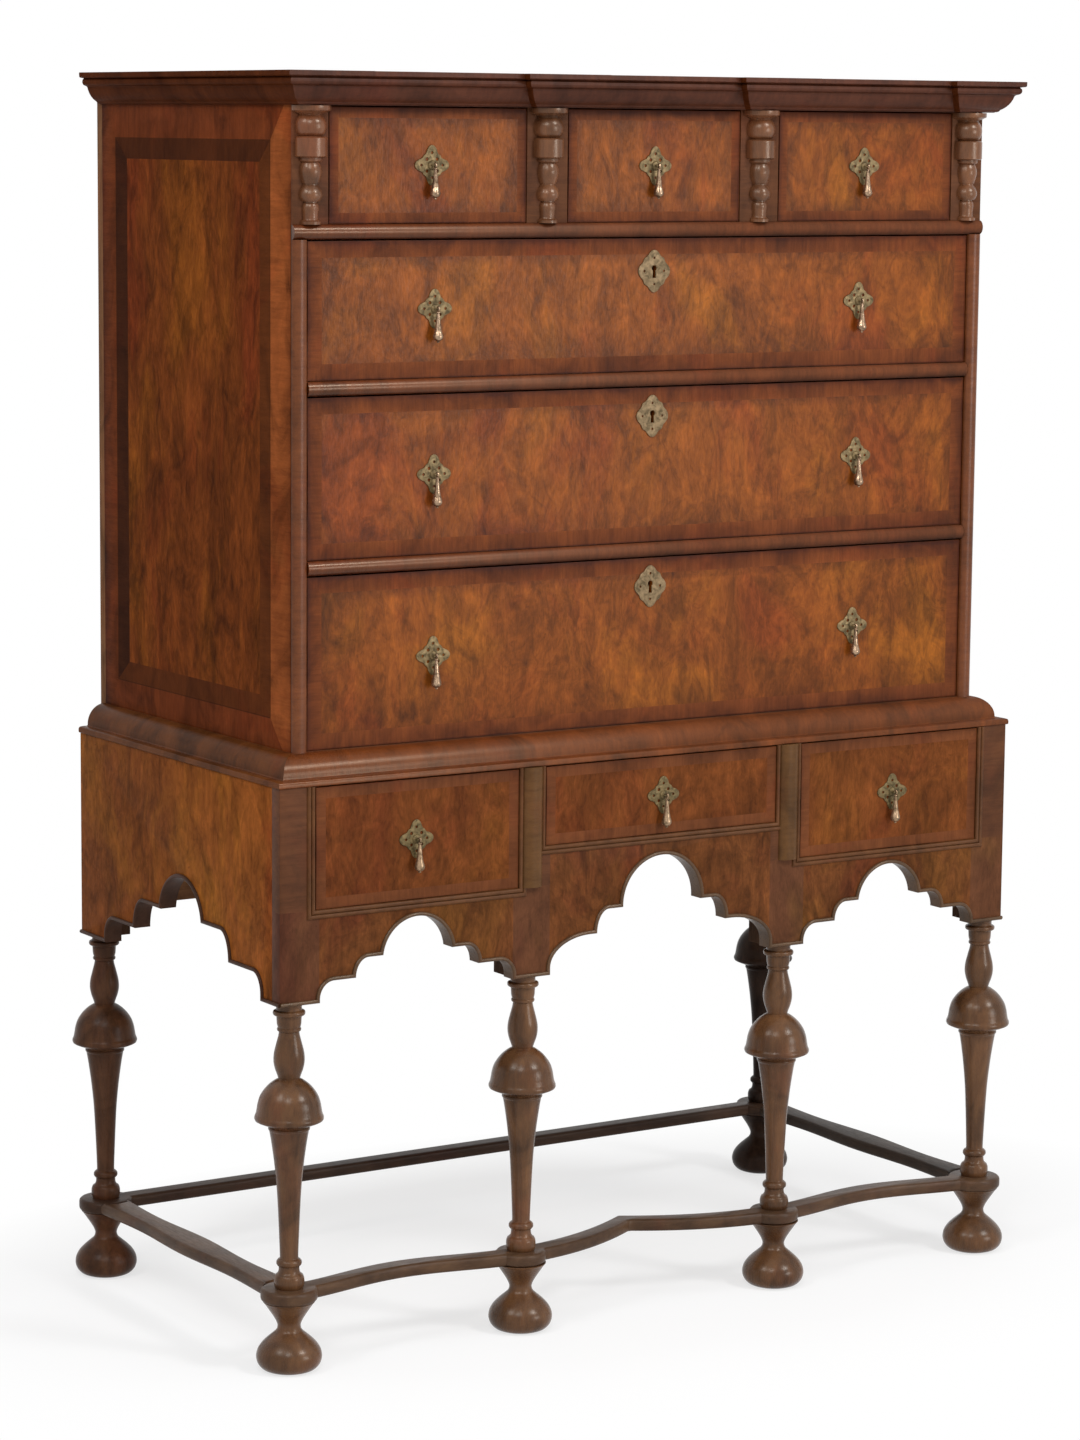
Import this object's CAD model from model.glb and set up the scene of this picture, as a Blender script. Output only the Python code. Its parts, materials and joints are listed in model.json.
import json
import math
import bmesh
import bpy
from mathutils import Matrix, Vector


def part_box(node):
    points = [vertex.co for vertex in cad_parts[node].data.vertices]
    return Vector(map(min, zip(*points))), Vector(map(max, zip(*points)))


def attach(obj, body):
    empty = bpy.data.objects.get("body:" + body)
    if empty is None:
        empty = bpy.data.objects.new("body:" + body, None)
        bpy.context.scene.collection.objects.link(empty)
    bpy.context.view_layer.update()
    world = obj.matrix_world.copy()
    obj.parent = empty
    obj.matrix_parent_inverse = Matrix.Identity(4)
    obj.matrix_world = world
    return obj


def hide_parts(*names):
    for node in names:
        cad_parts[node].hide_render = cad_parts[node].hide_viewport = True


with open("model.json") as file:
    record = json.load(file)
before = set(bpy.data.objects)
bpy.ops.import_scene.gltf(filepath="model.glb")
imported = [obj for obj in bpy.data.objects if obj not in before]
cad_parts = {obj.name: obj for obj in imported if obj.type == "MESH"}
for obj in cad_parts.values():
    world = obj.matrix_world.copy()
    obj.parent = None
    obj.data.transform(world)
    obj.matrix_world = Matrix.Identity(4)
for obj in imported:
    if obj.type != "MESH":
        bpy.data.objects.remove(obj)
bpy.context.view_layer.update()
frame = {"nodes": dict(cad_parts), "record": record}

# Lengths are in millimetres from the front of the upper case, the middle line and the floor
MM = 0.001
CASE_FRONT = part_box("case_top")[0][1] / MM
TURN = 2 * math.pi
SIDES = (("left", -1), ("right", 1))

# Upper case
HALF_CASE = 517.5
CASE_DEPTH = 496
BACK_THICKNESS = 15
BACK_BOARDS = (210, 196, 224, 202, 203)
BACK_GAP = 0.4
BACK_EDGE = 1.2
BOARD = 20
BOARD_EDGE = 0.7
FINE_EDGE = 0.3
CASE_BASE = 732
CASE_FLOOR = 759
CASE_TOP = 1552
OVERALL_TOP = 1570
RAIL = 18
RAIL_PROUD = 7
LONG_FLOORS = (759, 989, 1204)
LONG_OPENINGS = (212, 197, 168)
SHORT_FLOOR = 1390
SHORT_OPENING = 140
CORNICE_BOTTOM = 1530
END_STILE = 49.5
MID_STILE = 59
SHORT_MIDDLE = 260
STILE_DEPTH = 22
STILE_SKIN = 0.4
SKIN_DEPTH = 1
WEB = 14
INSET = 1
LIP_LAP = 3
LIP_RISE = 0.1
LIP_EDGE = 0.2
CASE_INNER = HALF_CASE - BOARD
END_STILE_X = HALF_CASE - END_STILE / 2
MID_STILE_X = SHORT_MIDDLE / 2 + MID_STILE / 2

# Bands of veneer on the sides: front, back, foot and top
SIDE_FRAME = (52, 37, 62, 63)
SIDE_BAND = (25, 31, 25, 25)
SIDE_LINE = 1.6

# Cornice and waist moulding
CORNICE_SETBACK = 8
CORNICE_BREAK = 12
CORNICE_BREAK_HALF = 27
CORNICE_ROOT = 7.6
CORNICE_HEIGHT = OVERALL_TOP - CORNICE_BOTTOM
WAIST_SEAT = 25.3
WAIST_TOP = 758.5

# Stand
STAND_OVERHANG = 36
HALF_STAND = HALF_CASE + STAND_OVERHANG
STAND_FRONT = -STAND_OVERHANG
STAND_BACK = 498
STAND_BASE = 457
STAND_TOP = 722
DIVIDER = 196
DIVIDER_WIDTH = 38
DIVIDER_MOULDING = 28
DIVIDER_PROUD = 8
OUTER_OPENING = 151
MIDDLE_OPENING = 101
END_OPENING = 505.5
CORNER_BLOCK = 54
INNER_BLOCK = 54
SIDE_FRONT_BLOCK = 45
SIDE_BACK_BLOCK = 74
APRON_EDGE = 0.6
BEAD = 4.5
BEAD_SKIN = 0.4
BEAD_PROUD = 3.2
EDGE_BEAD = 5.5
EDGE_BEAD_PROUD = 2.6
POST_DEPTH = 25
BACK_POST = 46
POST_INNER = 505.8
RUNNER_REACH = 43
RUNNER = 8
GLUE_BLOCK_TOP = 553
OUTER_LEVEL = STAND_TOP - OUTER_OPENING
MIDDLE_LEVEL = STAND_TOP - MIDDLE_OPENING
OPENING_IN = DIVIDER + DIVIDER_WIDTH / 2
MIDDLE_HALF = DIVIDER - DIVIDER_WIDTH / 2
APRON_BACK = STAND_FRONT + BOARD
CORNER_INNER = HALF_STAND - CORNER_BLOCK
INNER_OUT = DIVIDER + INNER_BLOCK / 2
INNER_IN = DIVIDER - INNER_BLOCK / 2

# Arches in the aprons: a round corner's width and rise, a shoulder, a step of a quarter round, and a crown
OUTER_ARCH = dict(corner=(20, 22), shoulder=26, step_at=88, step=18, step_top=50, crown=50, crown_at=44)
MIDDLE_ARCH = dict(corner=(60, 37), shoulder=46, step_at=99, step=18, step_top=76, crown=60, crown_at=78)
SIDE_ARCH = dict(corner=(20, 25), shoulder=33, step_at=126, step=22, step_top=70, crown=55, crown_at=63)

# Legs, feet and stretchers
LEG_X = 531.5
INNER_LEG_X = 197
LEG_FRONT_Y = -19
LEG_BACK_Y = 477
STRETCHER_BOTTOM = 87
STRETCHER_TOP = 103
STRETCHER_EDGE = 4.6
STRETCHER_HALF = 15
SIDE_STRETCHER_HALF = 21
SIDE_STRETCHER_WAVE = 5
BACK_STRETCHER_HALF = 14
LOBE = 35
INNER_LOBE = 32
FRONT_BOW = 24
MIDDLE_BOW = 61
JOINT_GAP = 0.2
BOWED_STEP = 4
STRAIGHT_STEP = 20
WAVE_STEPS = 48

# Drawers
DRAWER_GAP = 1
DRAWER_TOP_GAP = 1.5
DRAWER_FIT = 0.3
DRAWER_EDGE = 0.9
FRONT_THICKNESS = 20
DRAWER_SIDE = 11
DRAWER_BOTTOM = 9
DRAWER_DROP = 12
CASE_DRAWER_BACK = 482
STAND_DRAWER_BACK = 451.7

# Bands on a drawer's front: left, right, foot and top; the outermost is the most worn
SOILED = (6, 4, 3, 7)
WORN_SHARES = (1, 0.58, 0.33)
LONG_ROW = dict(front=0, back=CASE_DRAWER_BACK, band=20, fade=(34, 18, 36, 12))
SHORT_ROW = dict(front=0, back=CASE_DRAWER_BACK, band=13, fade=(12, 16, 14, 12))
STAND_ROW = dict(front=STAND_FRONT, back=STAND_DRAWER_BACK, band=14, fade=(16, 14, 12, 10))

# Metalwork; a hole is its turn in quarters, its distance and its radius, as shares of the plate's reach
PIVOT_REACH = 9
LONG_HANDLE = 320
SHORT_HANDLE = 325
STAND_HANDLE = 364
PLATE_REACH = 24
PLATE_WAIST_SHARE = 0.56
PLATE_HOLE_SHARES = ((0.5, 0.42, 0.085), (0, 0.62, 0.07))
PLATE_CUSP_SHARE = 0.12
PLATE_POINTS = 96
LEAF_POWER = 2.1
CUSP_POWER = 12
PLATE_THICKNESS = 1.6
PLATE_EDGE = 0.5
BOSS_SINK = 0.4
KEY_PLATE_REACH = 26.5
KEY_PLATE_WAIST_SHARE = 0.74
KEY_PLATE_HOLE_SHARES = ((0, 0.62, 0.06),)
KEY_PLATE_NARROW_SHARE = 0.9
KEY_PLATE_SINK = 3.5
KEYHOLE_EYE = 3.6
KEYHOLE_SLOT = 2.4
KEYHOLE_FOOT = 12
KEYHOLE_FROM = -56
KEY_DROPS = (34, 34, 39)
CUT_OVERRUN = 5
LOCK_HALF = 34
LOCK_DEPTH = 9
LOCK_FALL = 30
LOCK_HEADROOM = 3
LOCK_EDGE = 1
WIRE = 1.8
WIRE_SHARE = 0.9
STAPLE_BEND = 1.4
STAPLE_ROOT = 2
STAPLE_GAP = 0.5
EYE_RADIUS = 3.3
EYE_HOLE = 1.6
EYE_WIDTH = 3
EYE_WIDE_SHARE = 1.3

# Meshes: points this close are one, and edges sharper than this, in degrees, stay crisp
WELD = 0.001
CUT_REACH = 0.01
SAME_POINT = 0.02
CRISP = 32
TURNED_CRISP = 38

# Facets round each turning
BALUSTER_SIDES = 28
LEG_SIDES = 40
FOOT_SIDES = 48
DROP_SIDES = 24
EYE_SIDES = 24
WIRE_SIDES = 10

# Studio: the floor whitens outward from an ellipse round the feet; sizes in metres
FLOOR_SIZE = 30
FLOOR_REACH_X = 0.72
FLOOR_REACH_Y = 0.46
FLOOR_WHITE_FROM = 0.92
FLOOR_WHITE_TO = 1.45
FLOOR_LIFT = 0.68
FLOOR_COLOUR = (0.9, 0.9, 0.905, 1)
MIDDLE_HEIGHT = 0.8
WORLD_LIGHT = 0.4

# Lamps about the object's middle: degrees right of straight ahead, degrees up, distance, size and power
LAMPS = {
    "key_light": (-38, 36, 4.6, (1.0, 1.3), 48),
    "right_light": (27, 38, 7, (1.2, 1.2), 190),
    "low_light": (27, 5, 5, (1.3, 1.3), 60),
    "fill_light": (-74, 39, 4.6, (1.0, 1.3), 48),
}
TOP_LAMP_AT = (0, -0.3, 3.8)
TOP_LAMP_SIZE = (2.2, 1.6)
TOP_LAMP_POWER = 26

# The photograph's camera
CAMERA = (-2897.2, -4260.7, 1507.9)
CAMERA_YAW = 32.69
CAMERA_PITCH = -8.25
CAMERA_ROLL = 0.51
FOCAL_SHARE = 4097.7 / 1080
SENSOR = 36
CLIP_END = 100


def place(x, y, z):
    """A point of the object in metres."""
    return Vector((x * MM, (y + CASE_FRONT) * MM, z * MM))


def mirrored(sign, near, far):
    """A span beside the middle line, on the side that the sign gives."""
    return (near, far) if sign > 0 else (-far, -near)


def srgb(red, green, blue):
    """A colour on the screen, 0 to 255, as the linear colour that a shader takes."""
    def linear(value):
        share = value / 255
        return share / 12.92 if share <= 0.04045 else ((share + 0.055) / 1.055) ** 2.4
    return (linear(red), linear(green), linear(blue), 1)


def shade(level):
    return (level, level, level, 1)


def toned(colour, shares, amount=1):
    """The colour with its red, green and blue raised or lowered by their shares."""
    return (*(part * (1 + share * amount) for part, share in zip(colour, shares)), 1)


class Shader:
    """Short calls for the nodes of a material, or of the world."""

    def __init__(self, owner):
        owner.use_nodes = True
        self.owner = owner
        self.tree = owner.node_tree

    def feed(self, node, inputs):
        """Gives each input a value, or joins it to what another node puts out."""
        for key, value in inputs.items():
            if isinstance(value, bpy.types.NodeSocket):
                self.tree.links.new(value, node.inputs[key])
            else:
                node.inputs[key].default_value = value
        return node

    def node(self, kind, inputs, **settings):
        made = self.tree.nodes.new(f"ShaderNode{kind}")
        for key, value in settings.items():
            setattr(made, key, value)
        return self.feed(made, inputs)

    def coords(self, scale):
        where = self.node("TexCoord", {})
        return self.node("Mapping", {"Scale": scale, "Vector": where.outputs["Object"]}).outputs["Vector"]

    def apart(self):
        """The place on the object as X, Y and Z."""
        where = self.node("TexCoord", {})
        return self.node("SeparateXYZ", {"Vector": where.outputs["Object"]}).outputs

    def warped(self, vector, scale, amount):
        """A place that is pushed about by soft noise."""
        push = self.node("TexNoise", {"Scale": scale, "Detail": 2, "Vector": vector}).outputs["Color"]
        inputs = {0: push, 1: (amount, amount, amount), 2: vector}
        return self.node("VectorMath", inputs, operation="MULTIPLY_ADD").outputs["Vector"]

    def noise(self, vector, scale, detail=4, rough=0.55, distortion=0):
        inputs = {"Scale": scale, "Detail": detail, "Roughness": rough, "Distortion": distortion}
        return self.node("TexNoise", {**inputs, "Vector": vector}).outputs["Fac"]

    def ramp(self, value, stops):
        made = self.node("ValToRGB", {"Fac": value})
        elements = made.color_ramp.elements
        elements.remove(elements[-1])
        elements[0].position, elements[0].color = stops[0]
        for at, colour in stops[1:]:
            elements.new(at).color = colour
        return made.outputs["Color"]

    def mix(self, factor, first, second, blend="MIX"):
        inputs = {0: factor, 6: first, 7: second}
        return self.node("Mix", inputs, data_type="RGBA", blend_type=blend).outputs[2]

    def times(self, colour, by, amount=1):
        return self.mix(amount, colour, by, "MULTIPLY")

    def tinted(self, colour, tint, where):
        return self.mix(where, colour, self.times(colour, tint))

    def calc(self, operation, first, second=0):
        return self.node("Math", {0: first, 1: second}, operation=operation).outputs[0]

    def span(self, value, from_pair, to_pair):
        """Maps one span of values onto another and holds it at both ends."""
        inputs = {"Value": value, "From Min": from_pair[0], "From Max": from_pair[1],
                  "To Min": to_pair[0], "To Max": to_pair[1]}
        return self.node("MapRange", inputs).outputs["Result"]

    def seen(self):
        """1 on rays that show the white surroundings: to the camera, and in polish and glass."""
        rays = self.node("LightPath", {}).outputs
        mirror = self.calc("MAXIMUM", rays["Is Glossy Ray"], rays["Is Transmission Ray"])
        return self.calc("MAXIMUM", rays["Is Camera Ray"], mirror)

    def leaves(self, width):
        """A value for each upright leaf of veneer, from its place along X and its drawer's height."""
        at = self.apart()
        row = self.calc("FLOOR", self.calc("MULTIPLY", at["Z"], LEAF_ROWS))
        leaf = self.calc("DIVIDE", at["X"], width)
        along = self.calc("ADD", leaf, self.calc("MULTIPLY", row, LEAF_SHIFT_SHARE))
        number = self.calc("ADD", self.calc("FLOOR", along), self.calc("MULTIPLY", row, LEAF_ROW_STEP))
        return self.node("TexWhiteNoise", {"W": number}, noise_dimensions="1D").outputs["Value"]

    def figured(self, colour, vector, layer, contrast):
        """Lays a layer of figure over a colour; gives the new colour and the layer's pattern."""
        bend, noise, (low, even, high), (darken, lighten) = layer
        pattern = self.noise(self.warped(vector, *bend), *noise)
        stops = [(low, shade(1 - darken * contrast)), (even, shade(1)), (high, shade(1 + lighten * contrast))]
        return self.times(colour, self.ramp(pattern, stops)), pattern

    def worn(self, colour, patches, amount, power):
        """Darkens a banded board in uneven patches towards its outer edge, where its rim is 1."""
        rim = self.node("Attribute", {}, attribute_name="rim").outputs["Fac"]
        edge = self.calc("POWER", rim, power)
        patchy = self.span(patches, (0.35, 0.65), (amount, amount * WORN_LEAST_SHARE))
        return self.tinted(colour, WORN_TINT, self.calc("MULTIPLY", edge, patchy))

    def finish(self, height, relief, depth, inputs):
        """Feeds the material's own shader, with a relief from a height."""
        bump = self.node("Bump", {"Strength": relief, "Distance": depth * MM, "Height": height})
        self.feed(self.tree.nodes["Principled BSDF"], {**inputs, "Normal": bump.outputs["Normal"]})
        return self.owner


# Layers of figure in a veneer: how they are bent (scale and amount), their noise (scale, detail, roughness
# and distortion), their dark, even and light levels, and how far they darken and lighten
CLOUDS = ((14, 0.05), (17, 6, 0.66, 1), (0.3, 0.5, 0.7), (0.46, 0.3))
FLAMES = ((11, 0.08), (46, 5, 0.62, 0.9), (0.32, 0.5, 0.68), (0.36, 0.26))
SWIRLS = ((30, 0.02), (90, 5, 0.66, 1), (0.32, 0.52, 0.68), (0.26, 0.18))
BLOTCHES = ((10, 0.05), (15, 5, 0.62, 0.8), (0.3, 0.5, 0.7), (0.6, 0.45))

# How colours change: shares that red, green and blue gain, tints that multiply them, and the leaves of veneer
GOLD_SHARES = (0.18, 0.3, 0.04)
RED_SHARES = (-0.05, -0.18, -0.06)
BURR_EYE_SHARES = (-0.5, -0.54, -0.5)
GRAIN_DARK_SHARES = (-0.5, -0.53, -0.5)
GRAIN_LIGHT_SHARES = (0.4, 0.46, 0.4)
WORN_TINT = (0.3, 0.24, 0.36, 1)
WORN_LEAST_SHARE = 0.7
REDDER = (1.04, 0.8, 0.8, 1)
SUNNED_TINT = (1.45, 1.5, 1.3, 1)
SUNNED_WANDER = 0.3
SUNNED_SPAN = (0.17, 0.13)
LEAF_TONES = ((0, (0.94, 0.92, 0.92, 1)), (1, (1.04, 1.05, 1.02, 1)))
LEAF_ROWS = 5.2
LEAF_SHIFT_SHARE = 0.37
LEAF_ROW_STEP = 7.3

# How the figure and the grain are drawn out along X, Y and Z
EVERY_WAY = (1, 1, 1)
FLAMES_DRAWN = (1, 1, 0.4)
BLOTCHES_DRAWN = (1, 1, 0.7)
PORES_DRAWN = (700, 700, 120)
PINE_DRAWN = (3, 60, 60)
PINE_PORES_DRAWN = (40, 700, 700)
FINE_GRAIN = 9
WOOD_DEPTH = 0.4
BRASS_DEPTH = 0.3
DULLED_FROM = -0.45
DULLED_TO = 0.1


def finish_wood(s, colour, height, roughness, relief, polish, varnish=(1, 1, 1, 1), dulled=0.0):
    """Colour, polish and pores that all the woods share; dulled is how much rougher the right half is."""
    rough = s.span(height, (0.3, 0.7), roughness[::-1])
    if dulled:
        rough = s.calc("ADD", rough, s.span(s.apart()["X"], (DULLED_FROM, DULLED_TO), (0, dulled)))
    return s.finish(height, relief, WOOD_DEPTH, {
        "Base Color": colour, "Roughness": rough, "Specular IOR Level": polish, "Specular Tint": varnish})


def burr_veneer(name, mid, polish, contrast, roughness=(0.36, 0.52), flow=0.62, leaf=0.17, sunned=0.0,
                zoned=1.0, rim=0.0, rim_power=1.0):
    """Figured walnut laid in upright leaves: golden and red zones, flames, clouds, and small dark eyes."""
    s = Shader(bpy.data.materials.new(name))
    base = s.warped(s.coords((1, 1, flow)), scale=6, amount=0.09)
    zones = s.noise(base, scale=6.5, detail=4, rough=0.6, distortion=0.5)
    red = toned(mid, RED_SHARES, zoned)
    gold = toned(mid, GOLD_SHARES, zoned)
    colour = s.ramp(zones, [(0.36, red), (0.47, mid), (0.53, mid), (0.66, gold)])
    colour, clouds = s.figured(colour, base, CLOUDS, contrast)
    colour, _ = s.figured(colour, s.coords(FLAMES_DRAWN), FLAMES, contrast)
    colour, _ = s.figured(colour, base, SWIRLS, contrast)
    eyes = s.noise(s.warped(base, scale=70, amount=0.01), scale=150, detail=3, rough=0.6, distortion=0.4)
    spots = s.calc("MULTIPLY", s.span(eyes, (0.37, 0.28), (0, 0.75)), s.span(clouds, (0.54, 0.42), (0.15, 1)))
    colour = s.mix(spots, colour, toned(mid, BURR_EYE_SHARES))
    if leaf:
        colour = s.times(colour, s.ramp(s.leaves(leaf), LEAF_TONES))
    if sunned:
        along = s.calc("ADD", s.apart()["Y"], s.calc("MULTIPLY", zones, SUNNED_WANDER))
        faded = s.span(along, [sunned + end for end in SUNNED_SPAN], (0, 0.85))
        colour = s.tinted(colour, SUNNED_TINT, faded)
    if rim:
        colour = s.worn(colour, clouds, rim, rim_power)
    fine = s.noise(s.coords(PORES_DRAWN), scale=1, detail=3)
    colour = s.times(colour, s.ramp(fine, [(0.35, shade(0.72)), (0.6, shade(1.08))]), amount=0.4)
    return finish_wood(s, colour, fine, roughness, 0.25, polish)


def grain_veneer(name, grain, mid, polish, contrast, roughness=(0.32, 0.48), blotch=0.6, rim=0.0,
                 rim_power=2.2, varnish=(1, 1, 1, 1), dulled=0.0):
    """Straight-grained walnut; rim is how dark a board's edge is worn."""
    s = Shader(bpy.data.materials.new(name))
    base = s.warped(s.coords(grain), scale=1.2, amount=0.5)
    lines = s.noise(base, scale=1.6, detail=6, rough=0.62, distortion=0.4)
    dark = toned(mid, GRAIN_DARK_SHARES, contrast)
    light = toned(mid, GRAIN_LIGHT_SHARES, contrast)
    colour = s.ramp(lines, [(0.28, dark), (0.5, mid), (0.72, light)])
    zones = s.noise(s.coords(EVERY_WAY), scale=8, detail=4, rough=0.6, distortion=0.8)
    colour = s.tinted(colour, REDDER, s.span(zones, (0.54, 0.7), (0, 0.7)))
    colour, patches = s.figured(colour, s.coords(BLOTCHES_DRAWN), BLOTCHES, blotch)
    fine = s.noise(s.coords([along * FINE_GRAIN for along in grain]), scale=1.3, detail=4, rough=0.6)
    colour = s.times(colour, s.ramp(fine, [(0.32, shade(0.6)), (0.55, shade(1.08))]), amount=0.5 * contrast)
    if rim:
        colour = s.worn(colour, patches, rim, rim_power)
    return finish_wood(s, colour, fine, roughness, 0.3, polish, varnish, dulled)


def pine_wood(name):
    s = Shader(bpy.data.materials.new(name))
    base = s.warped(s.coords(PINE_DRAWN), scale=1, amount=0.3)
    lines = s.noise(base, scale=1.2, detail=4, rough=0.5, distortion=0.3)
    tones = [(0.35, srgb(128, 92, 58)), (0.55, srgb(168, 128, 84)), (0.7, srgb(186, 150, 102))]
    colour = s.ramp(lines, tones)
    stain = s.noise(s.coords(EVERY_WAY), scale=6)
    colour = s.times(colour, s.ramp(stain, [(0.35, shade(0.68)), (0.65, shade(1.05))]), amount=0.5)
    fine = s.noise(s.coords(PINE_PORES_DRAWN), scale=1, detail=3)
    return s.finish(fine, 0.35, WOOD_DEPTH, {"Base Color": colour, "Roughness": 0.75})


def aged_brass(name, dark, light, roughness, metal):
    """Brass with a green-brown film that is worn off in patches."""
    s = Shader(bpy.data.materials.new(name))
    bent = s.warped(s.coords(EVERY_WAY), scale=90, amount=0.004)
    film = s.noise(bent, scale=150, detail=5, rough=0.6, distortion=0.5)
    colour = s.ramp(film, [(0.34, dark), (0.62, light)])
    rough = s.span(film, (0.35, 0.65), roughness[::-1])
    return s.finish(film, 0.3, BRASS_DEPTH, {
        "Base Color": colour, "Roughness": rough, "Metallic": metal, "Specular IOR Level": 0.3})


# What several woods share
ACROSS_X = (8, 70, 110)
ACROSS_Z = (110, 70, 8)
ACROSS_Z_SIDE = (70, 110, 8)
ALONG_X = (6, 60, 60)
ALONG_Y = (60, 6, 60)
ALONG_Z = (60, 60, 6)
LEVEL_SIDE = (70, 9, 90)
UPRIGHT_SIDE = (70, 90, 9)
EVEN = (60, 60, 60)
MATT = dict(roughness=(0.42, 0.58))
GLOSSY = dict(roughness=(0.24, 0.38))
RAW = dict(roughness=(0.6, 0.8))
CLOUDY = dict(blotch=0.9)
PLAIN = dict(leaf=0, zoned=1.3)
UPPER_EDGE = dict(rim=1.25, rim_power=0.85)
AMBER = dict(varnish=(1, 0.8, 0.6, 1))
WARM = dict(varnish=(1, 0.88, 0.74, 1))
AGED = dict(varnish=(1, 0.95, 0.87, 1))

# Burr woods: colour on the screen, polish, contrast, and what differs from the usual look
BURRS = {
    "burr_walnut": ((119, 62, 17), 0.1, 1, dict(roughness=(0.3, 0.44), zoned=1.3) | UPPER_EDGE),
    "burr_walnut_stand": ((101, 54, 22), 0.05, 0.9, dict(rim=0.5)),
    "burr_walnut_apron": ((93, 53, 25), 0.05, 1, PLAIN),
    "burr_walnut_block": ((86, 52, 32), 0.06, 0.6, dict(leaf=0)),
    "burr_walnut_side": ((110, 60, 26), 0.01, 0.9, dict(leaf=0, sunned=0.02, zoned=1.5)),
    "side_panel": ((101, 50, 18), 0.01, 1.1, dict(flow=0.42, leaf=0, zoned=1.5) | MATT),
}

# Straight-grained woods: grain, colour, polish, contrast, and what differs from the usual look
GRAINS = {
    "crossband_x": (ACROSS_X, (116, 60, 23), 0.1, 0.5, MATT | UPPER_EDGE),
    "crossband_z": (ACROSS_Z, (116, 60, 23), 0.1, 0.5, MATT | UPPER_EDGE),
    "crossband_stand_x": (ACROSS_X, (98, 55, 29), 0.06, 0.4, MATT | dict(rim=0.6)),
    "crossband_stand_z": (ACROSS_Z, (98, 55, 29), 0.06, 0.4, MATT | dict(rim=0.6)),
    "side_frame_y": (LEVEL_SIDE, (128, 68, 33), 0.01, 0.5, MATT | CLOUDY | dict(rim=0.8, rim_power=7)),
    "side_frame_rear": (LEVEL_SIDE, (92, 44, 20), 0.01, 0.5, MATT | CLOUDY | dict(rim=0.8, rim_power=4)),
    "side_frame_z": (UPRIGHT_SIDE, (97, 46, 21), 0.01, 0.5, MATT | CLOUDY | dict(rim=0.6, rim_power=6)),
    "side_band_front": (LEVEL_SIDE, (82, 41, 16), 0.01, 0.4, MATT),
    "side_band_rear": (LEVEL_SIDE, (54, 25, 10), 0.01, 0.4, MATT),
    "side_band_top": (UPRIGHT_SIDE, (66, 31, 12), 0.01, 0.4, MATT),
    "side_band_foot": (UPRIGHT_SIDE, (80, 39, 15), 0.01, 0.4, MATT),
    "side_string": (EVEN, (66, 32, 12), 0.01, 0.4, MATT),
    "stile_walnut": (ACROSS_X, (82, 48, 27), 0.1, 0.5, MATT),
    "rail_walnut": (ACROSS_Z, (88, 43, 19), 0.4, 0.5,
                    AMBER | dict(roughness=(0.2, 0.3), dulled=0.55, rim=0.9, rim_power=1)),
    "waist_front": (ACROSS_Z, (90, 44, 16), 0.3, 0.4,
                    AMBER | CLOUDY | dict(roughness=(0.22, 0.32), dulled=0.4)),
    "waist_side": (ACROSS_Z_SIDE, (88, 49, 22), 0.04, 0.4, GLOSSY | CLOUDY),
    "moulding_across_z": (ACROSS_X, (98, 54, 28), 0.2, 0.5, GLOSSY),
    "divider_walnut": (ACROSS_X, (86, 58, 32), 0.1, 0.4, GLOSSY),
    "cornice_front": (ACROSS_Z, (72, 38, 24), 0.12, 0.5, {}),
    "cornice_side": (ACROSS_Z_SIDE, (71, 34, 15), 0.005, 0.5, {}),
    "turned_walnut": (ALONG_Z, (84, 56, 35), 0.26, 0.7, AGED | CLOUDY | dict(roughness=(0.2, 0.32))),
    "turned_walnut_back": (ALONG_Z, (72, 46, 30), 0.1, 0.7, GLOSSY | CLOUDY),
    "turned_walnut_far": (ALONG_Z, (44, 31, 24), 0.06, 0.7, GLOSSY | CLOUDY),
    "baluster_walnut": ((80, 80, 8), (98, 61, 38), 0.44, 0.6, WARM | CLOUDY | dict(roughness=(0.22, 0.34))),
    "stretcher_walnut_x": (ALONG_X, (74, 53, 37), 0.16, 0.6, {}),
    "stretcher_walnut_y": (ALONG_Y, (74, 53, 37), 0.14, 0.6, {}),
    "stretcher_walnut_far": (ALONG_Y, (52, 40, 31), 0.08, 0.6, {}),
    "stretcher_walnut_back": (ALONG_X, (54, 38, 28), 0.1, 0.6, {}),
    "bead_walnut": (EVEN, (74, 52, 34), 0.34, 0.4, GLOSSY | WARM),
    "bead_dark_walnut": (EVEN, (84, 52, 28), 0.12, 0.4, {}),
    "bead_side_walnut": (EVEN, (60, 38, 26), 0.1, 0.4, {}),
    "top_walnut": (ALONG_X, (92, 56, 38), 0.15, 0.8, {}),
    "drawer_lining": ((50, 6, 50), (150, 110, 70), 0.1, 0.7, dict(roughness=(0.55, 0.75))),
    "pine_level": ((4, 50, 50), (114, 80, 54), 0.05, 0.7, RAW),
    "pine_upright": ((50, 50, 4), (112, 77, 52), 0.05, 0.7, RAW),
    "underside_walnut": ((50, 50, 6), (58, 40, 28), 0.05, 0.7, RAW),
}

# Metals: the film's colour, the worn colour, roughness where worn and under the film, and how metallic
METALS = {
    "plate_brass": ((74, 62, 38), (126, 106, 72), (0.42, 0.6), 0.4),
    "key_plate_brass": ((78, 64, 40), (128, 106, 76), (0.45, 0.62), 0.35),
    "plate_brass_stand": ((66, 56, 30), (112, 94, 60), (0.45, 0.62), 0.35),
    "drop_brass": ((92, 72, 54), (174, 146, 120), (0.2, 0.36), 0.8),
    "drop_brass_stand": ((88, 72, 50), (164, 136, 108), (0.28, 0.42), 0.7),
    "lock_iron": ((44, 38, 34), (92, 84, 76), (0.45, 0.6), 0.8),
}


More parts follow.
